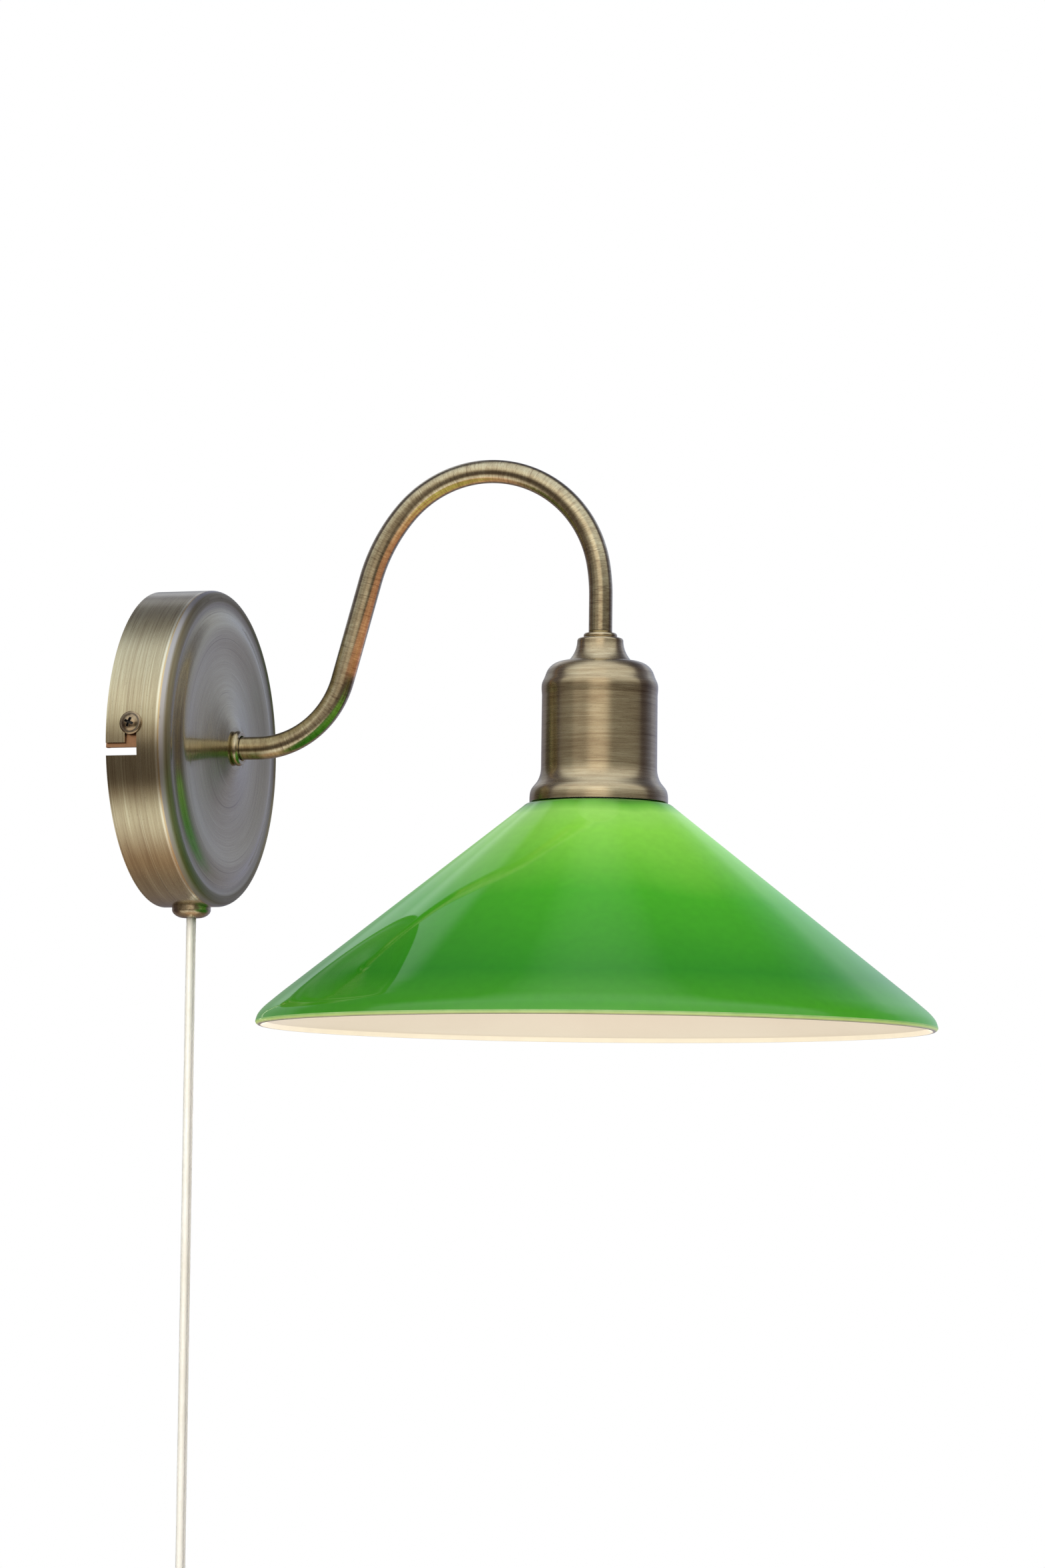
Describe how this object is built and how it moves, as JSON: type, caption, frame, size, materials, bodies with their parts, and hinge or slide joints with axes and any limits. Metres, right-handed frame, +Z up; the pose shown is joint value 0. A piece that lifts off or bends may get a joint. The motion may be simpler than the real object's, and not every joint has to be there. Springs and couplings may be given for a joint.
{
  "type": "wall sconce",
  "caption": "Wall sconce with a round canopy, a gooseneck arm, a socket cup and a flared conical glass shade, fed by a plug-in cord.",
  "frame": {"origin": "centre of the wall bracket's two screw holes, on its back face, which is the centre of the canopy at the wall", "axes": "+Y into the wall, along the wall screws; -Y outwards along the arm; +Z up"},
  "size_m": [0.3, 0.356, 0.7204],
  "materials": {
    "antique_brass": "brushed, aged, lacquered",
    "terminal_brass": "bright",
    "bracket_steel": "copper coloured plating",
    "screw_bronze": "dark bronze plating",
    "zinc_steel": "zinc plated",
    "green_glass": "glossy, green outside over white inside",
    "opal_glass": "satin white",
    "cap_metal": "satin",
    "black_glass": "glossy",
    "holder_ceramic": "matt",
    "black_plastic": "satin",
    "clear_plastic": "clear, glossy",
    "white_plastic": "glossy",
    "brown_insulation": "satin",
    "blue_insulation": "satin",
    "silicone": "matt"
  },
  "bodies": {
    "bracket": {"wall_bracket": "bracket_steel", "canopy_side_screws": "screw_bronze"},
    "canopy": {"canopy_cover": "antique_brass", "arm_tube": "antique_brass", "arm_collar": "antique_brass", "arm_lock_washer": "zinc_steel", "arm_lock_nut": "zinc_steel", "terminal_carrier": "zinc_steel", "terminal_block": "white_plastic", "terminal_sleeves": "terminal_brass", "terminal_screws": "zinc_steel", "terminal_block_screw": "zinc_steel", "cord_clamp": "white_plastic", "cord_clamp_screws": "zinc_steel", "cord_grommet": "antique_brass", "grommet_nut": "zinc_steel", "cord_inner_end": "clear_plastic", "supply_core_live": "brown_insulation", "supply_core_neutral": "blue_insulation", "lamp_wire_live": "brown_insulation", "lamp_wire_neutral": "blue_insulation", "neck_washer": "antique_brass", "neck_cap": "antique_brass", "socket_cup": "antique_brass", "holder_cap": "black_plastic", "holder_sleeve": "black_plastic", "holder_core": "holder_ceramic", "holder_terminal_screws": "zinc_steel", "holder_liner": "black_plastic", "screw_shell": "terminal_brass", "centre_contact": "terminal_brass", "shade_ring_upper": "black_plastic", "shade_gasket_upper": "silicone", "shade_gasket_lower": "silicone", "shade_ring_lower": "black_plastic", "glass_shade": "green_glass", "power_cord_upper": "clear_plastic", "power_cord_lower": "clear_plastic", "power_cord_coil": "clear_plastic", "power_cord_tail": "clear_plastic", "coil_tie": "white_plastic", "switch_base": "clear_plastic", "switch_cover": "clear_plastic", "switch_screws": "zinc_steel", "switch_contacts": "terminal_brass", "plug_body": "clear_plastic", "plug_pins": "cap_metal"},
    "bulb": {"bulb_contact": "zinc_steel", "bulb_insulator": "black_glass", "bulb_cap": "cap_metal", "bulb_globe": "opal_glass"},
    "rocker": {"switch_rocker": "white_plastic"}
  },
  "joints": [
    {"name": "canopy_twist", "type": "hinge", "parent": "bracket", "child": "canopy", "pos_m": [0, 0, 0], "axis": [0, 1, 0], "range_deg": [0, 9.1]},
    {"name": "bulb_withdraw", "type": "slide", "parent": "canopy", "child": "bulb", "axis": [0, 0, -1], "range_m": [0, 0.03]},
    {"name": "switch_rock", "type": "hinge", "parent": "canopy", "child": "rocker", "pos_m": [0, -0.0205, -0.41], "axis": [1, 0, 0], "range_deg": [-24, 0]}
  ]
}
